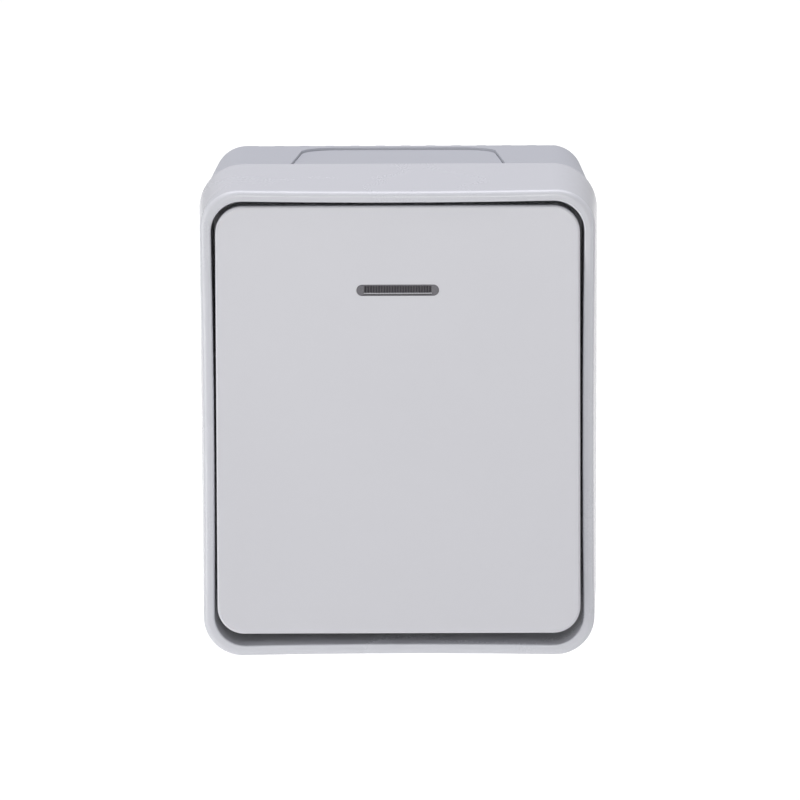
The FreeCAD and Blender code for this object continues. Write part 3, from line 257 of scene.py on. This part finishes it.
# %% [markdown]
# ## Metals
# The screws and the spring are zinc-plated steel with a faint drawn look, the contacts are stamped brass
# that has dulled in blotches, and their tips are silver. Streaks could be modelled as scratches, but they
# are far finer than the pieces, so noise that is squeezed along one axis stands in for them.

# %% Streaked and dulled metal
STREAK_CELLS = 900.0
PATCH_CELLS = 260.0


def worked_metal(name, colour, dull, roughness, streak):
    """A metal with fine streaks along one direction and slow dull patches."""
    material, tree, place = new_material(name)
    squeezed = Wire.node(tree, "ShaderNodeMapping", {}, {"Vector": place, "Scale": streak})
    lines = noise(tree, squeezed, STREAK_CELLS, detail=4.0)
    patches = noise(tree, place, PATCH_CELLS)
    surface = Wire.node(tree, "ShaderNodeBsdfPrincipled", {}, {
        "Base Color": mix_colour(tree, patches, colour, dull),
        "Metallic": 1.0,
        "Roughness": roughness + lines * 0.18 + patches * 0.08,
        "Normal": relief(tree, lines, 0.2, 10.0 * MICRON),
    })
    close_material(tree, surface)
    return material


# Each metal has its bright colour, its dull colour, its roughness and its squeeze along X, Y and Z.
METALS = {
    "screw_steel": ((0.56, 0.57, 0.58, 1), (0.44, 0.45, 0.47, 1), 0.22, (1, 8, 1)),
    "contact_brass": ((0.80, 0.56, 0.22, 1), (0.62, 0.40, 0.15, 1), 0.2, (8, 1, 1)),
    "contact_silver": ((0.88, 0.87, 0.84, 1), (0.74, 0.73, 0.70, 1), 0.25, (1, 1, 6)),
}
finishes.update({name: worked_metal(name, *given) for name, given in METALS.items()})
print("metals", list(METALS))


# %% [markdown]
# ## Clear pieces
# The light guide is clear plastic, the lamp is glass with a warm tint, and the lens is smoky. Light goes
# through them, so they transmit instead of being faded out, and only a slight haze varies.

# %% Clear and tinted pieces
HAZE_CELLS = 500.0
CLEAR_IOR = 1.49


def see_through(name, colour, roughness, clearness):
    """A clear or tinted plastic or glass."""
    material, tree, place = new_material(name)
    surface = Wire.node(tree, "ShaderNodeBsdfPrincipled", {}, {
        "Base Color": colour,
        "Roughness": roughness + noise(tree, place, HAZE_CELLS) * 0.04,
        "IOR": CLEAR_IOR,
        "Transmission Weight": clearness,
    })
    close_material(tree, surface)
    return material


# Each clear piece has its tint, its roughness and the share of light that goes through.
CLEARS = {
    "clear_plastic": ((0.94, 0.96, 0.97, 1), 0.08, 0.9),
    "lamp_glass": ((1.0, 0.86, 0.72, 1), 0.03, 0.92),
    "smoky_window": ((0.035, 0.036, 0.04, 1), 0.12, 0.35),
}
finishes.update({name: see_through(name, *given) for name, given in CLEARS.items()})
print("clear pieces", list(CLEARS))


# %% [markdown]
# ## Dressing the pieces that keep their own shape
# Most pieces are already the right shape, so they only need their finish. Each could be dressed by hand,
# but every material has the name of the finish that the parts list gives, so one loop over that list
# dresses them all. The rear box and its insert are moulded apart from the cover and are a shade darker,
# so they have a plastic of their own.

# %% Finish for every piece
OWN_FINISHES = {"base_box": "base_plastic", "entry_insert": "base_plastic"}
for entry in subparts:
    mesh = nodes[entry["node"]].data
    mesh.materials.clear()
    mesh.materials.append(finishes[OWN_FINISHES.get(entry["node"], entry["material_slot"])])
print("dressed", len(subparts), "pieces in", len(finishes), "finishes")


# %% [markdown]
# ## The indicator window
# The window is a smoky bar set flush in the key. Behind its skin lies a dark bed of fine upright ribs
# that spread the lamp's light, with a ledge along the bottom whose pale colour is a painted highlight. At
# this size true smoky glass would show only black, so each part of the window has a skin that looks as it
# does through the smoke.

# %% Sizes and skins of the window
WINDOW = (13.88 * MM, 1.88 * MM)
FLANGE = (16.6 * MM, 4.6 * MM)
SKIN_DEPTH = 0.06 * MM
BED_DEPTH = 0.4 * MM
BACK_DEPTH = 2.25 * MM
FLANGE_DEPTH = 3.15 * MM
BED = (-5.7 * MM, 5.7 * MM, -0.80 * MM, 0.74 * MM)
LEDGE = (-5.7 * MM, 5.7 * MM, -0.60 * MM, -0.45 * MM)
LEDGE_DEPTH = 0.05 * MM
CLOUD_CELLS = 3600.0


def smoky_plastic(name, colour, shade):
    """Tinted glossy plastic that reads as nearly solid, with cloudy depth and a clear coat."""
    material, tree, place = new_material(name)
    cloud = noise(tree, place, CLOUD_CELLS, detail=2.0)
    surface = Wire.node(tree, "ShaderNodeBsdfPrincipled", {}, {
        "Base Color": mix_colour(tree, cloud, colour, shade),
        "Roughness": 0.24 + cloud * 0.12,
        "IOR": CLEAR_IOR,
        "Coat Weight": 0.15,
        "Normal": relief(tree, cloud, 0.2, 10.0 * MICRON),
    })
    close_material(tree, surface)
    return material


smoky_skins = [
    smoky_plastic("smoky_plate", linear(54, 51, 58), linear(98, 95, 103)),
    smoky_plastic("smoky_bed", linear(27, 24, 31), linear(40, 36, 44)),
    # The ledge's pale skin is a painted highlight along the bottom of the window.
    smoky_plastic("smoky_ledge_painted_highlight", linear(180, 179, 185), linear(168, 167, 173)),
    smoky_plastic("smoky_rib", linear(62, 57, 66), linear(48, 44, 52)),
]
PLATE_SKIN, BED_SKIN, LEDGE_HIGHLIGHT_SKIN, RIB_SKIN = range(4)
print("window skins", [skin.name for skin in smoky_skins])


# %% [markdown]
# The ribs are 25 equal rods side by side. They could be copied in a loop, but a node tree says the rule
# once: a line of points, a rod on each point, and the sizes as inputs. The rods are made real at the end,
# so the row leaves the tree as a plain mesh.

# %% A row of ribs from a node tree
RIB_COUNT = 25
RIB_PITCH = 0.45 * MM
RIB_RADIUS = 0.13 * MM
RIB_LENGTH = 1.14 * MM
RIB_RISE = 0.14 * MM
RIB_LIFT = 0.02 * MM
ROD_SIDES = 12


def rib_row():
    """A tree that stands an upright rod at each point of a centred line."""
    tree = bpy.data.node_groups.new("rib_row", "GeometryNodeTree")
    kinds = {"Count": "NodeSocketInt", "Pitch": "NodeSocketFloat", "Radius": "NodeSocketFloat",
             "Length": "NodeSocketFloat", "Material": "NodeSocketMaterial"}
    for name, kind in kinds.items():
        tree.interface.new_socket(name, in_out="INPUT", socket_type=kind)
    tree.interface.new_socket("Geometry", in_out="OUTPUT", socket_type="NodeSocketGeometry")
    given = tree.nodes.new("NodeGroupInput")
    count, pitch, radius, length, material = (Wire(tree, given.outputs[name]) for name in kinds)
    start = Wire.node(tree, "ShaderNodeCombineXYZ", {}, {"X": (count - 1.0) * pitch * -0.5})
    step = Wire.node(tree, "ShaderNodeCombineXYZ", {}, {"X": pitch})
    line = Wire.node(tree, "GeometryNodeMeshLine", {"mode": "OFFSET"}, {
        "Count": count, "Start Location": start, "Offset": step})
    rod = Wire.node(tree, "GeometryNodeMeshCylinder", {}, {
        "Vertices": ROD_SIDES, "Radius": radius, "Depth": length})
    row = Wire.node(tree, "GeometryNodeInstanceOnPoints", {}, {
        "Points": line, "Instance": rod, "Rotation": (math.pi / 2, 0.0, 0.0)})
    solid = Wire.node(tree, "GeometryNodeRealizeInstances", {}, {"Geometry": row})
    result = Wire.node(tree, "GeometryNodeSetMaterial", {}, {"Geometry": solid, "Material": material})
    output = tree.nodes.new("NodeGroupOutput")
    tree.links.new(result.socket, output.inputs[0])
    return tree


def grown(tree, settings):
    """The plain mesh that a node tree gives for these settings."""
    carrier = bpy.data.objects.new("carrier", bpy.data.meshes.new("carrier"))
    bpy.context.scene.collection.objects.link(carrier)
    modifier = carrier.modifiers.new("grow", "NODES")
    modifier.node_group = tree
    for item in tree.interface.items_tree:
        if item.in_out == "INPUT":
            modifier[item.identifier] = settings[item.name]
    mesh = bpy.data.meshes.new_from_object(carrier.evaluated_get(bpy.context.evaluated_depsgraph_get()))
    bpy.data.objects.remove(carrier)
    return mesh


ribs = grown(rib_row(), {"Count": RIB_COUNT, "Pitch": RIB_PITCH, "Radius": RIB_RADIUS, "Length": RIB_LENGTH,
                         "Material": smoky_skins[RIB_SKIN]})
ribs.transform(Matrix.Translation((0.0, RIB_RISE, RIB_LIFT - BED_DEPTH)))
row_width = (RIB_COUNT - 1) * RIB_PITCH
print("ribs", RIB_COUNT, "over", round(row_width / MM, 1), "mm,", len(ribs.polygons), "faces")


# %% [markdown]
# The bar itself could be cut from a block, but cuts leave ragged faces on so small a piece. It is built
# as a pile of outlines at different depths instead. Each pair of outlines is joined by walls, and the flat
# parts between an outer and an inner outline are filled, so the mesh is closed. Across is X, up runs
# along the tilted face of the key, and depth is measured out of that face.

# %% Outlines, walls and fills
END_STEPS = 20


def stadium(width, height):
    """Points of a slot with round ends."""
    radius = height / 2
    points = []
    for side, start in ((1, -90), (-1, 90)):
        for i in range(END_STEPS + 1):
            angle = math.radians(start + 180 * i / END_STEPS)
            points.append((side * (width / 2 - radius) + radius * math.cos(angle), radius * math.sin(angle)))
    return points


def rectangle(left, right, low, high):
    """Corners of an upright rectangle."""
    return [(left, low), (right, low), (right, high), (left, high)]


def loop(bm, outline, depth):
    """A closed ring of edges at one depth."""
    ring = [bm.verts.new((x, y, depth)) for x, y in outline]
    for first, second in zip(ring, ring[1:] + ring[:1]):
        bm.edges.new((first, second))
    return ring


def walls(bm, front, rear, skin):
    """Faces that join two rings with as many points."""
    for i in range(len(front)):
        j = (i + 1) % len(front)
        bm.faces.new((front[i], front[j], rear[j], rear[i])).material_index = skin


def fill(bm, rings, skin):
    """A flat face inside the first ring, with the second as its hole."""
    edges = [bm.edges.get((ring[i - 1], ring[i])) for ring in rings for i in range(len(ring))]
    made = bmesh.ops.triangle_fill(bm, edges=edges, use_beauty=True)
    for face in (item for item in made["geom"] if isinstance(item, bmesh.types.BMFace)):
        face.material_index = skin


print("the window's outline has", len(stadium(*WINDOW)), "points")

# %% The bar, its bed and its ledge, with the ribs
bm = bmesh.new()
edge = loop(bm, stadium(WINDOW[0] - 2 * SKIN_DEPTH, WINDOW[1] - 2 * SKIN_DEPTH), 0.0)
side = loop(bm, stadium(*WINDOW), -SKIN_DEPTH)
side_back = loop(bm, stadium(*WINDOW), -BACK_DEPTH)
flange = loop(bm, stadium(*FLANGE), -BACK_DEPTH)
flange_back = loop(bm, stadium(*FLANGE), -FLANGE_DEPTH)
bed_mouth = loop(bm, rectangle(*BED), 0.0)
bed_floor = loop(bm, rectangle(*BED), -BED_DEPTH)
ledge_top = loop(bm, rectangle(*LEDGE), -LEDGE_DEPTH)
ledge_foot = loop(bm, rectangle(*LEDGE), -BED_DEPTH - SKIN_DEPTH)
for front, rear in ((edge, side), (side, side_back), (flange, flange_back)):
    walls(bm, front, rear, PLATE_SKIN)
walls(bm, bed_mouth, bed_floor, BED_SKIN)
walls(bm, ledge_top, ledge_foot, LEDGE_HIGHLIGHT_SKIN)
for rings in ((edge, bed_mouth), (side_back, flange), (flange_back,)):
    fill(bm, rings, PLATE_SKIN)
fill(bm, (bed_floor,), BED_SKIN)
fill(bm, (ledge_top,), LEDGE_HIGHLIGHT_SKIN)
fill(bm, (ledge_foot,), LEDGE_HIGHLIGHT_SKIN)
bmesh.ops.recalc_face_normals(bm, faces=bm.faces)
bar_faces = len(bm.faces)
bm.from_mesh(ribs)
bm.faces.ensure_lookup_table()
for face in bm.faces[bar_faces:]:
    face.material_index = RIB_SKIN
print("bar", bar_faces, "faces, with its ribs", len(bm.faces))


# %% [markdown]
# The window rides in the key, which is tipped about its pivot when the switch rests. So the mesh is turned
# and moved to that place before it becomes an object, and the object itself stays unturned at the
# origin. It takes the place of the plain lens and moves with the rocker.

# %% The window in its place in the key
PIVOT = Vector((0.0, -43.0 * MM, 0.0))
KEY_TILT = math.radians(5.25)
KEY_TO_PIVOT = 15.0 * MM
WINDOW_RISE = 22.0 * MM

key_across = Vector((1.0, 0.0, 0.0))
key_up = Vector((0.0, math.sin(KEY_TILT), math.cos(KEY_TILT)))
key_out = Vector((0.0, -math.cos(KEY_TILT), math.sin(KEY_TILT)))
middle = PIVOT + key_out * KEY_TO_PIVOT + key_up * WINDOW_RISE
turn = Matrix((key_across, key_up, key_out)).transposed().to_4x4()
bmesh.ops.transform(bm, matrix=Matrix.Translation(middle) @ turn, verts=bm.verts)
window_mesh = bpy.data.meshes.new("indicator_window")
bm.to_mesh(window_mesh)
bm.free()
for skin in smoky_skins:
    window_mesh.materials.append(skin)
window = bpy.data.objects.new("indicator_window", window_mesh)
bpy.context.scene.collection.objects.link(window)
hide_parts("indicator_lens")
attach(window, "rocker")


# %% [markdown]
# ## The floor
# The switch is shown on plain white. A backdrop close behind it would catch its shadow, so the only
# backdrop is a wide paper floor that lies well below it and fills the picture from edge to edge.

# %% A pale paper floor
FLOOR_DROP = 0.25
FLOOR_REACH = 8.0
PAPER = ((0.97, 0.97, 0.97, 1), (0.96, 0.96, 0.96, 1))


def pale_floor(height, reach):
    """A square sheet of paper, which stands outside the part."""
    mesh = bpy.data.meshes.new("floor")
    corners = [(x * reach, y * reach, height) for x, y in ((-1, -1), (1, -1), (1, 1), (-1, 1))]
    mesh.from_pydata(corners, [], [(0, 1, 2, 3)])
    material, tree, place = new_material("floor_paper")
    close_material(tree, Wire.node(tree, "ShaderNodeBsdfPrincipled", {}, {
        "Base Color": mix_colour(tree, noise(tree, place, 12.0), *PAPER),
        "Roughness": 0.8,
    }))
    mesh.materials.append(material)
    floor = bpy.data.objects.new("floor", mesh)
    bpy.context.scene.collection.objects.link(floor)
    return floor


floor_height = cad_box[0][2] - FLOOR_DROP
pale_floor(floor_height, FLOOR_REACH)
print("floor at", round(floor_height, 3), "m")


# %% [markdown]
# ## The light
# The picture is a pack shot in a light tent. A bare lamp would give hard shadows, so the light comes from
# an even surround and from wide panels. A cool one overhead puts the highlight on the upper edges, a
# front one reaches into the narrow gaps, and a tall one stands on the left, with a weak one on the right.
# The floor has two lights of its own, turned away from the switch, so it stays white without a shadow.

# %% Even surround and soft panels
SURROUND = 0.37
HEART = (0.0, -0.03, 0.0)
NEAR_FLOOR = (0.0, 3.0, -0.29)
FAR_FLOOR = (0.0, 3.6, -0.29)
WHITE = (1.0, 1.0, 1.0)
COOL = (0.94, 0.93, 1.0)


def soft_panel(name, place, target, size, power, colour):
    """An area light that faces its target."""
    data = bpy.data.lights.new(name, "AREA")
    data.shape = "RECTANGLE"
    data.size = size[0]
    data.size_y = size[1]
    data.energy = power
    data.color = colour
    light = bpy.data.objects.new(name, data)
    light.location = place
    light.rotation_euler = (Vector(target) - Vector(place)).to_track_quat("-Z", "Y").to_euler()
    bpy.context.scene.collection.objects.link(light)


world = bpy.data.worlds.new("studio")
bpy.context.scene.world = world
world.use_nodes = True
world.node_tree.nodes["Background"].inputs["Color"].default_value = (1.0, 1.0, 1.0, 1.0)
world.node_tree.nodes["Background"].inputs["Strength"].default_value = SURROUND
# Each panel has its place, its target, its width and height, its power in watts and its colour.
PANELS = {
    "front_panel": ((0.0, -1.25, 0.26), HEART, (0.5, 0.5), 3.3, WHITE),
    "roof_panel": ((0.0, 0.15, 0.9), HEART, (0.9, 0.6), 7.3, COOL),
    "left_panel": ((-1.0, -0.45, 0.0), HEART, (0.2, 0.8), 4.8, WHITE),
    "right_panel": ((1.0, -0.45, 0.0), HEART, (0.2, 0.8), 1.2, WHITE),
    "floor_panel": ((0.0, 0.9, 0.6), NEAR_FLOOR, (2.6, 0.9), 20.0, WHITE),
    "far_floor_panel": ((0.0, 2.2, 0.9), FAR_FLOOR, (2.6, 0.9), 20.0, WHITE),
}
for name, given in PANELS.items():
    soft_panel(name, *given)
bpy.context.scene.view_settings.view_transform = "Standard"
print("panels", {name: given[3] for name, given in PANELS.items()}, "W")


# %% [markdown]
# ## The camera
# The switch is seen from a little above through a long lens, so its sides hardly converge. The view could
# be set by eye, but every edge would then be a little off. The angles, the distance and the lens come
# from fitting a pinhole camera to the drafted outlines of the box, and the picture needs no shift.

# %% Camera
CAMERA_RISE = math.radians(11.08)
CAMERA_TURN = math.radians(0.27)
CAMERA_ROLL = math.radians(-0.24)
CAMERA_DISTANCE = 1.0
CAMERA_TARGET = Vector((0.0003, -0.055, 0.00431))
FRAME_PIXELS = 800
FOCAL_PIXELS = 5925.0
SENSOR_MM = 36.0
NEAREST = 0.05

back = Vector((math.sin(CAMERA_TURN) * math.cos(CAMERA_RISE), -math.cos(CAMERA_TURN) * math.cos(CAMERA_RISE),
               math.sin(CAMERA_RISE)))
level = Vector((0.0, 0.0, 1.0)).cross(back).normalized()
right = level * math.cos(CAMERA_ROLL) + back.cross(level) * math.sin(CAMERA_ROLL)
upward = back.cross(right)
lens = bpy.data.cameras.new("camera")
lens.sensor_width = SENSOR_MM
lens.lens = FOCAL_PIXELS * SENSOR_MM / FRAME_PIXELS
lens.clip_start = NEAREST
camera = bpy.data.objects.new("camera", lens)
stand = Matrix.Translation(CAMERA_TARGET + back * CAMERA_DISTANCE)
camera.matrix_world = stand @ Matrix((right, upward, back)).transposed().to_4x4()
bpy.context.scene.collection.objects.link(camera)
bpy.context.scene.camera = camera
print("lens", round(lens.lens, 1), "mm, from", [round(v, 3) for v in camera.location])


# %% [markdown]
# ## Size
# The dressed switch has to be as large as its parts were before.
